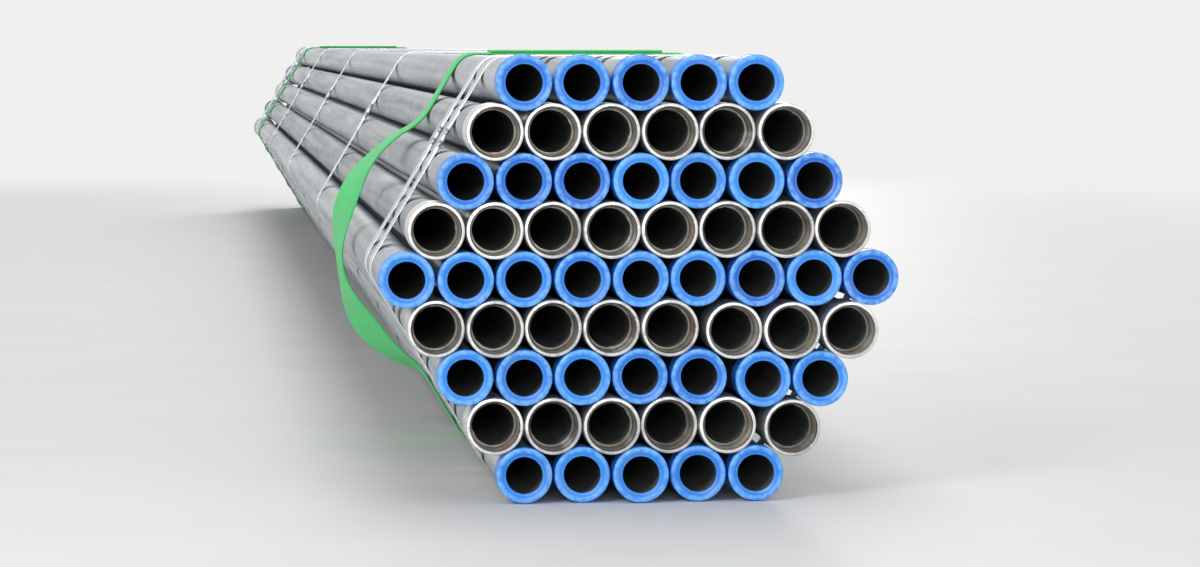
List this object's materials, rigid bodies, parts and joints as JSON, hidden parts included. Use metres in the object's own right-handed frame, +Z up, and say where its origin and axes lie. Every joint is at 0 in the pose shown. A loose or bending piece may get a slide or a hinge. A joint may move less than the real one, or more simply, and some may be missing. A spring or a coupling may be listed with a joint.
{
  "type": "bundle of steel pipes",
  "caption": "Hexagonal bundle of galvanised, socketed steel pipes with blue thread protectors, held by steel straps and green webbing slings.",
  "frame": {"origin": "on the floor, under the middle of the bundle", "axes": "+X across the bundle, +Y along the pipes away from the pictured end, +Z up"},
  "size_m": [0.465, 6.035, 0.3805],
  "materials": {
    "galvanised_pipe": "hot-dip galvanised, slightly weathered",
    "galvanised_socket": "galvanised, machined mouth",
    "blue_plastic": "moulded, semi-gloss",
    "strap_steel": "bright zinc",
    "seal_steel": "zinc, crimped",
    "green_webbing": "woven polyester"
  },
  "bodies": {
    "root": {"pipe_row_1": "galvanised_pipe", "pipe_row_2": "galvanised_pipe", "pipe_row_3": "galvanised_pipe", "pipe_row_4": "galvanised_pipe", "pipe_row_5": "galvanised_pipe", "pipe_row_6": "galvanised_pipe", "pipe_row_7": "galvanised_pipe", "pipe_row_8": "galvanised_pipe", "pipe_row_9": "galvanised_pipe", "socket_row_1": "galvanised_socket", "socket_row_2": "galvanised_socket", "socket_row_3": "galvanised_socket", "socket_row_4": "galvanised_socket", "socket_row_5": "galvanised_socket", "socket_row_6": "galvanised_socket", "socket_row_7": "galvanised_socket", "socket_row_8": "galvanised_socket", "socket_row_9": "galvanised_socket", "thread_protector_row_1": "blue_plastic", "thread_protector_row_2": "blue_plastic", "thread_protector_row_3": "blue_plastic", "thread_protector_row_4": "blue_plastic", "thread_protector_row_5": "blue_plastic", "thread_protector_row_6": "blue_plastic", "thread_protector_row_7": "blue_plastic", "thread_protector_row_8": "blue_plastic", "thread_protector_row_9": "blue_plastic", "straps": "strap_steel", "strap_seals": "seal_steel", "sling_1": "green_webbing", "sling_2": "green_webbing"}
  },
  "joints": []
}
